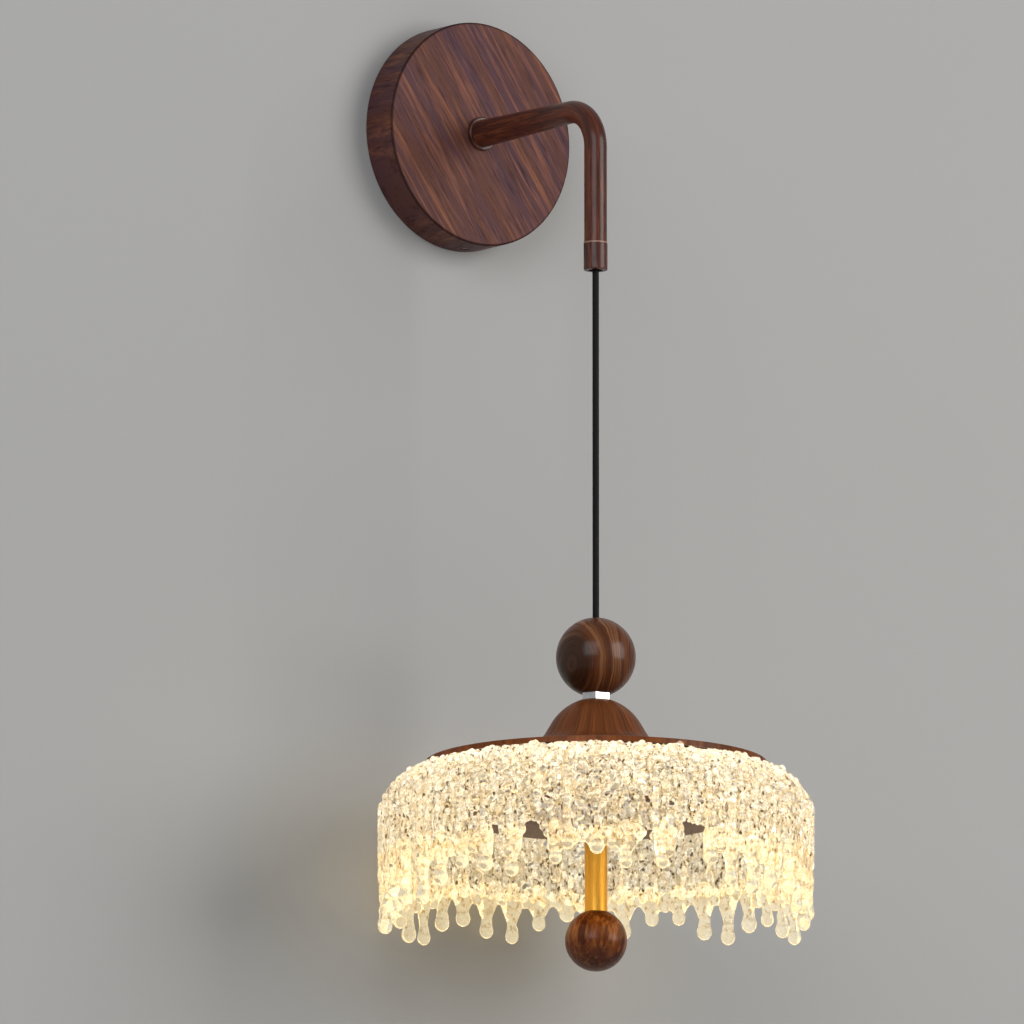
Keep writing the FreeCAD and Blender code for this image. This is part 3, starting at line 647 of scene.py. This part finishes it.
def bead_tops(mesh):
    """For each vertex, from 0 in a crease between beads to 1 on a bead's top."""
    count = len(mesh.vertices)
    spots, normals, ends = read_points(mesh, "co"), read_points(mesh, "normal"), read_edges(mesh)
    both = np.concatenate([ends, ends[:, ::-1]])
    links = np.bincount(both[:, 0], minlength=count)
    around = np.stack([np.bincount(both[:, 0], spots[both[:, 1], axis], count) for axis in range(3)], 1)
    bulge = np.sum((spots - around / links[:, None]) * normals, axis=1)
    for _ in range(3):
        bulge = 0.5 * bulge + 0.5 * np.bincount(both[:, 0], bulge[both[:, 1]], count) / links
    low, high = np.percentile(bulge, (6, 90))
    return np.clip((bulge - low) / (high - low), 0, 1).astype(np.float32)


def facing_light(mesh):
    """For each vertex, 1 where the glass faces the light source in the middle and 0 where it faces away."""
    out = read_points(mesh, "co")[:, :2] + (0, REACH)
    out /= np.linalg.norm(out, axis=1)[:, None]
    return np.clip(-np.sum(out * read_points(mesh, "normal")[:, :2], axis=1), 0, 1).astype(np.float32)


def drop_specks(mesh):
    """Takes out what melting leaves apart from the rest and is smaller than a bead."""
    first, second = read_edges(mesh).T
    island, joined = None, np.arange(len(mesh.vertices))
    while not np.array_equal(island, joined):
        island = joined.copy()
        lowest = np.minimum(island[first], island[second])
        np.minimum.at(joined, first, lowest)
        np.minimum.at(joined, second, lowest)
        joined = joined[joined]
    mesh.vertices.foreach_set("select", np.bincount(island)[island] < SPECK_POINTS)
    bpy.ops.object.mode_set(mode="EDIT")
    bpy.ops.mesh.select_mode(type="VERT")
    bpy.ops.mesh.delete(type="VERT")
    bpy.ops.object.mode_set(mode="OBJECT")


def run_together(name, heap, material, node):
    """Melts a heap of beads into one piece of glass."""
    place = np.array([(b[1] * math.cos(b[0]), b[1] * math.sin(b[0]) - REACH, b[2]) for b in heap])
    size = np.array([(b[3], b[3], b[4]) for b in heap])
    points = (bead_points[None] * size[:, None] + place[:, None]).reshape(-1, 3)
    faces = (bead_faces[None] + (np.arange(len(heap)) * len(bead_points))[:, None, None]).reshape(-1, 3)
    mesh = bpy.data.meshes.new(name)
    mesh.from_pydata(points, [], faces)
    piece = bpy.data.objects.new(name, mesh)
    bpy.context.scene.collection.objects.link(piece)
    apply_modifier(piece, "REMESH", mode="VOXEL", voxel_size=VOXEL, use_smooth_shade=True)
    drop_specks(piece.data)
    apply_modifier(piece, "SMOOTH", factor=0.5, iterations=2)
    bpy.ops.object.shade_smooth()
    for label, values in (("bead_top", bead_tops(piece.data)), ("faces_light", facing_light(piece.data))):
        piece.data.attributes.new(label, "FLOAT", "POINT").data.foreach_set("value", values)
    piece.data.materials.append(material)
    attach(piece, "lamp_head")
    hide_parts(node)


def melt_in_shares(name, heap, shares, material, node):
    """Melts a heap of beads in equal shares round the lamp, a piece for each share."""
    for share in range(shares):
        near = [b for b in heap if int(b[0] / math.tau * shares) == share]
        run_together(f"{name}_{share + 1}", near, material, node)


WALL_SHARES = 8
melt_in_shares("beaded_wall", wall_beads, WALL_SHARES, wall_glass, "glass_shade")


# Glass drips: molten glass that ran off the lower edge and set there, long and short by turns,
# each with a root, a neck and a bulb. They are fused to the shade's edge.
DRIP_MEAN, DRIP_LEAN, DRIP_WAVE = 0.0225, 0.002, 0.008
DRIP_UNEVEN, UNEVEN_TURN, SHORT_SHARE, STUB = 0.0055, 2.4, 0.7, (0.003, 0.007)
SEAT_TURN, SEAT_LIFT, SEAT_R, SEAT_TALL = 0.02, 0.001, 0.0024, 0.008
ROOT_SHARES, ROOT_TURN, ROOT_TAPER, ROOT_BEAD = (0.1, 0.22, 0.34, 0.46), 0.05, 1.8, (0.0022, 0.0036)
NECK_TALL, NECK_WIDE, NECK_FLARE = (0.003, 0.005), (0.0021, 0.0027), 0.001
NECK_START, NECK_END, NECK_LAP, NECK_SWAY, NECK_DEPTH = 0.003, 1.8, 0.9, 0.007, 0.0008
WAIST_UP, WAIST_WIDE, WAIST_TALL = 1.9, 0.8, 1.5
SHORT_BULB, LONG_BULB, BULB_TALL = (0.0027, 0.0032), (0.0036, 0.0043), 1.15
drip_beads = []


def drip_reach(place):
    """Usual length of the glass below the edge, at a place counted in drips."""
    bearing = DRIP_STEP * place
    return DRIP_MEAN + DRIP_LEAN * math.cos(bearing) - DRIP_WAVE * math.cos(2 * bearing)


for place in range(DRIPS):
    azimuth = beside_window(DRIP_TURN + DRIP_STEP * place, EDGE_Z, BESIDE)
    short = place % 2 == 1
    length = drip_reach(place) + DRIP_UNEVEN * math.sin(UNEVEN_TURN * place)
    if short:
        length = min(SHORT_SHARE * drip_reach(place), hem_reach(place) + draw.uniform(*STUB))
    tip = EDGE_Z - length
    bulb = draw.uniform(*(SHORT_BULB if short else LONG_BULB))
    for aside in (-SEAT_TURN, 0.0, SEAT_TURN):
        drop_bead(drip_beads, azimuth + aside, RING_R, EDGE_Z + SEAT_LIFT, SEAT_R, min(SEAT_TALL, length / 2))
    for share in () if short else ROOT_SHARES:
        for aside in (-ROOT_TURN, ROOT_TURN):
            height = EDGE_Z - share * length
            beside = beside_window(azimuth + aside * (1 - ROOT_TAPER * share), height)
            drop_bead(drip_beads, beside, RING_R, height, *ROOT_BEAD)
    height = EDGE_Z - NECK_START
    while height > tip + NECK_END * bulb:
        tall = draw.uniform(*NECK_TALL)
        flare = NECK_FLARE * (height - tip) / length
        drop_bead(drip_beads, azimuth + about(NECK_SWAY), RING_R + about(NECK_DEPTH), height,
                  draw.uniform(*NECK_WIDE) + flare, tall)
        height -= tall * NECK_LAP
    drop_bead(drip_beads, azimuth, RING_R, tip + WAIST_UP * bulb, bulb * WAIST_WIDE, bulb * WAIST_TALL)
    drop_bead(drip_beads, azimuth, RING_R, tip + bulb * BULB_TALL, bulb, bulb * BULB_TALL)

# The drips' crease, fleck and rim colours are painted shade, and their glow is painted light.
drip_glass = glass_finish("drip_glass", tint(255, 255, 250), tint(255, 250, 236), tint(246, 232, 204),
                          tint(196, 168, 120), tint(176, 146, 92), (tint(255, 240, 202), tint(255, 243, 216)),
                          Roughness=0.02, Transmission_Weight=0.92, Emission_Strength=0.2)
DRIP_SHARES = 2
melt_in_shares("drips", drip_beads, DRIP_SHARES, drip_glass, "glass_drips")


# Brass tube: drawn brass, satin lacquered, on the lower end of the hanger nipple. Its closed
# foot holds the stud of the bottom ball.
brass, tree, shader = new_finish("satin_brass", Metallic=1.0)
lay_mottle(tree, shader, placed(tree, size=(0.0006, 0.0006, 0.05)), 1.0, tint(238, 184, 84),
           tint(220, 162, 62), 0.26, 0.38, 0.04)
dress(brass, "brass_tube")


# Bottom ball: turned walnut with straight grain, oiled, with painted shade towards its foot. It sits on the
# stud that stands out of the brass tube.
FINIAL_TOP, FOOT_SHADE_FROM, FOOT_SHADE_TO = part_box("finial_ball")[1].z, 0.006, 0.026
finial_wood, tree, shader = new_finish("walnut_straight", Specular_IOR_Level=0.1, Coat_Weight=0.4,
                                       Coat_Roughness=0.22)
grained = lay_grain(tree, shader, placed(tree, (0, -REACH, 0), (0, 10, 0), (0.0034, 0.0034, 0.05)),
                    tint(152, 78, 26), tint(98, 42, 12), tint(228, 140, 62), tint(40, 14, 5))
height = axes(tree, cad_place(tree))["Z"]
# Painted shade: the ball darkens towards its foot, away from the light above it.
foot = times(tree, spread(tree, height, FINIAL_TOP - FOOT_SHADE_FROM, FINIAL_TOP - FOOT_SHADE_TO), 0.7)
tree.links.new(blend_colour(tree, foot, grained, tint(46, 16, 8)), shader.inputs["Base Color"])
dress(finial_wood, "finial_ball")


# Studio: a pale backdrop behind the lamp and a pale floor far below it, which are see-through
# from behind, a soft key light from the front right, a fill from the left, and a pale world. The
# backdrop has a hole behind the plate, so that light from the back gets into it.
STAGE_SIZE, HOLE_R = 8.0, 0.056


def stage_plane(name, location, turn, colour, hole=0.0):
    """A flat backdrop that shows from its front only, with a round hole about the origin."""
    deselect()
    bpy.ops.mesh.primitive_plane_add(size=STAGE_SIZE, location=location, rotation=turn)
    plane = bpy.context.object
    plane.name = name
    bpy.ops.object.transform_apply()
    material, tree, shader = new_finish(name, Roughness=0.9, Specular_IOR_Level=0.1)
    patches = add(tree, "TexNoise", {"Vector": placed(tree), "Scale": 3.0})
    shade = [c * 0.96 for c in colour[:3]] + [1.0]
    tree.links.new(blend_colour(tree, patches.outputs[0], colour, shade), shader.inputs["Base Color"])
    clear = add(tree, "BsdfTransparent", {})
    side = add(tree, "NewGeometry", {}).outputs["Backfacing"]
    radius = distance(tree, cad_place(tree))
    inside = add(tree, "Math", {0: radius, 1: hole}, operation="LESS_THAN").outputs[0]
    through = add(tree, "Math", {0: side, 1: inside}, operation="MAXIMUM").outputs[0]
    seen = add(tree, "MixShader", {0: through, 1: shader.outputs[0], 2: clear.outputs[0]})
    tree.links.new(seen.outputs[0], tree.nodes["Material Output"].inputs["Surface"])
    plane.data.materials.append(material)


stage_plane("wall_backdrop", (0, 0.0006, -0.2), (math.radians(90), 0, 0), tint(183, 183, 182), HOLE_R)
stage_plane("pale_floor", (0, -3.0, -1.6), (0, 0, 0), tint(205, 204, 202))


def area_light(name, location, target, size, power, colour):
    """A square soft light that points at a place."""
    light = bpy.data.lights.new(name, "AREA")
    light.size = size
    light.energy = power
    light.color = colour
    lamp = bpy.data.objects.new(name, light)
    lamp.location = location
    lamp.rotation_mode = "QUATERNION"
    lamp.rotation_quaternion = (Vector(target) - Vector(location)).to_track_quat("-Z", "Y")
    bpy.context.scene.collection.objects.link(lamp)


MIDDLE_OF_LAMP = (0, -0.1, -0.2)
area_light("key", (1.3, -2.3, 0.35), MIDDLE_OF_LAMP, 1.7, 40.0, (1.0, 0.97, 0.93))
area_light("fill", (-2.2, -1.8, 0.6), MIDDLE_OF_LAMP, 2.0, 32.0, (0.95, 0.97, 1.0))
world = bpy.data.worlds.new("studio")
world.use_nodes = True
world.node_tree.nodes["Background"].inputs["Color"].default_value = (0.72, 0.74, 0.76, 1.0)
world.node_tree.nodes["Background"].inputs["Strength"].default_value = 0.3
bpy.context.scene.world = world
bpy.context.scene.view_settings.view_transform = "Standard"


# Camera: to the left of the lamp and below it, far off and with a long lens. The photograph
# doesn't fit one camera, and this one fits the lamp's head.
AZIMUTH, ELEVATION, DISTANCE = math.radians(-38), math.radians(-10), 12.0
SENSOR_MM, LENS_MM = 36, 802.8
LOOK_AT = Vector((-0.0347, -0.0929, -0.2172))
back = Vector((math.sin(AZIMUTH) * math.cos(ELEVATION), -math.cos(AZIMUTH) * math.cos(ELEVATION),
               math.sin(ELEVATION)))
camera = bpy.data.objects.new("camera", bpy.data.cameras.new("camera"))
camera.data.sensor_width = SENSOR_MM
camera.data.lens = LENS_MM
camera.location = LOOK_AT + back * DISTANCE
camera.rotation_mode = "QUATERNION"
camera.rotation_quaternion = (-back).to_track_quat("-Z", "Y")
bpy.context.scene.collection.objects.link(camera)
bpy.context.scene.camera = camera
